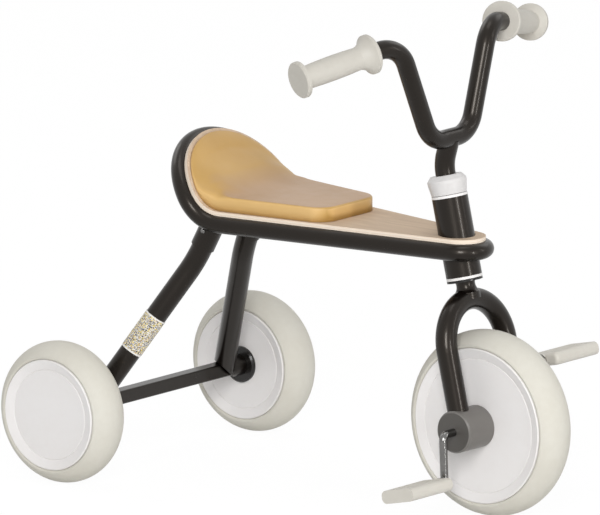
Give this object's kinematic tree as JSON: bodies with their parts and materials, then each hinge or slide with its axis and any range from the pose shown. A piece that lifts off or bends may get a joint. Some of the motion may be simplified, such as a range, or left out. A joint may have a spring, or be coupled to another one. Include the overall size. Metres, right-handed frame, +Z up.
{
  "type": "children's tricycle",
  "caption": "Toddler tricycle: looped tube frame with a bent wooden seat and pad, two rear wheels on splayed legs, and a steered front wheel driven by pedals.",
  "frame": {"origin": "on the floor, under the middle of the overall bounding box", "axes": "+X forward along the frame, +Y to the rider's left, +Z up"},
  "size_m": [0.693, 0.4488, 0.5797],
  "materials": {
    "black_paint": "gloss powder coat",
    "wood": "clear matt lacquer on plywood",
    "leather": "soft matt, ochre",
    "zinc_steel": "zinc plated",
    "spring_steel": "plain",
    "chrome": "polished",
    "print_film": null,
    "white_plastic": "satin moulded",
    "core_plastic": "moulded",
    "bush_nylon": "moulded nylon",
    "black_plastic": "satin moulded",
    "grey_plastic": "satin moulded",
    "cream_tyre": "matt, cream",
    "cream_rubber": "matt, cream",
    "cream_plastic": "satin, cream"
  },
  "bodies": {
    "frame": {"frame_loop": "black_paint", "head_tube": "black_paint", "board_tabs": "black_paint", "board_screws": "zinc_steel", "seat_board": "wood", "seat_cushion": "leather", "rear_bridge": "black_paint", "leg_socket_left": "black_paint", "leg_socket_right": "black_paint", "rear_leg_left": "black_paint", "rear_leg_right": "black_paint", "rear_cross_bar": "black_paint", "rear_axle": "zinc_steel", "axle_spacer_left": "black_paint", "axle_spacer_right": "black_paint", "axle_nuts": "zinc_steel", "leg_sleeve": "print_film", "button_springs": "spring_steel", "lower_bush": "white_plastic", "upper_bush": "white_plastic"},
    "steering": {"fork": "black_paint", "steerer": "black_paint", "steering_cap": "black_plastic", "steering_collar": "white_plastic", "stem": "black_paint", "stem_bolt": "zinc_steel", "handlebar": "black_paint", "grip_left": "cream_rubber", "grip_right": "cream_rubber", "hub_housing_left": "grey_plastic", "hub_housing_right": "grey_plastic", "crank_bush_left": "black_plastic", "crank_bush_right": "black_plastic"},
    "front_wheel": {"front_tyre": "cream_tyre", "front_disc_left": "white_plastic", "front_disc_right": "white_plastic", "front_wheel_core": "core_plastic", "crank_rod": "chrome", "pedal_washers": "zinc_steel"},
    "pedal_left": {"pedal_left": "cream_plastic"},
    "pedal_right": {"pedal_right": "cream_plastic"},
    "rear_wheel_left": {"rear_tyre_left": "cream_tyre", "rear_inner_disc_left": "white_plastic", "rear_outer_disc_left": "white_plastic", "rear_wheel_core_left": "core_plastic", "rear_hub_bush_left": "bush_nylon", "rear_hub_boss_left": "black_plastic"},
    "leg_button_left": {"leg_button_left": "chrome"},
    "rear_wheel_right": {"rear_tyre_right": "cream_tyre", "rear_inner_disc_right": "white_plastic", "rear_outer_disc_right": "white_plastic", "rear_wheel_core_right": "core_plastic", "rear_hub_bush_right": "bush_nylon", "rear_hub_boss_right": "black_plastic"},
    "leg_button_right": {"leg_button_right": "chrome"}
  },
  "joints": [
    {"name": "steering_turn", "type": "hinge", "parent": "frame", "child": "steering", "pos_m": [0.18589, 0, 0.3241], "axis": [-0.23, 0, 0.9732], "range_deg": [-60, 60]},
    {"name": "front_wheel_spin", "type": "hinge", "parent": "steering", "child": "front_wheel", "pos_m": [0.2365, 0, 0.11], "axis": [0, 1, 0], "continuous": true},
    {"name": "pedal_left_spin", "type": "hinge", "parent": "front_wheel", "child": "pedal_left", "pos_m": [0.23142, 0.14, 0.16577], "axis": [0, 1, 0], "continuous": true},
    {"name": "pedal_right_spin", "type": "hinge", "parent": "front_wheel", "child": "pedal_right", "pos_m": [0.24158, -0.14, 0.05423], "axis": [0, 1, 0], "continuous": true},
    {"name": "rear_wheel_left_spin", "type": "hinge", "parent": "frame", "child": "rear_wheel_left", "pos_m": [-0.2625, 0.178, 0.084], "axis": [0, 1, 0], "continuous": true},
    {"name": "rear_wheel_right_spin", "type": "hinge", "parent": "frame", "child": "rear_wheel_right", "pos_m": [-0.2625, -0.178, 0.084], "axis": [0, 1, 0], "continuous": true},
    {"name": "leg_button_left_press", "type": "slide", "parent": "frame", "child": "leg_button_left", "axis": [-0.0456, -0.9941, -0.098], "range_m": [0, 0.003], "stiffness_N_per_m": 400},
    {"name": "leg_button_right_press", "type": "slide", "parent": "frame", "child": "leg_button_right", "axis": [-0.0456, 0.9941, -0.098], "range_m": [0, 0.003], "stiffness_N_per_m": 400}
  ]
}
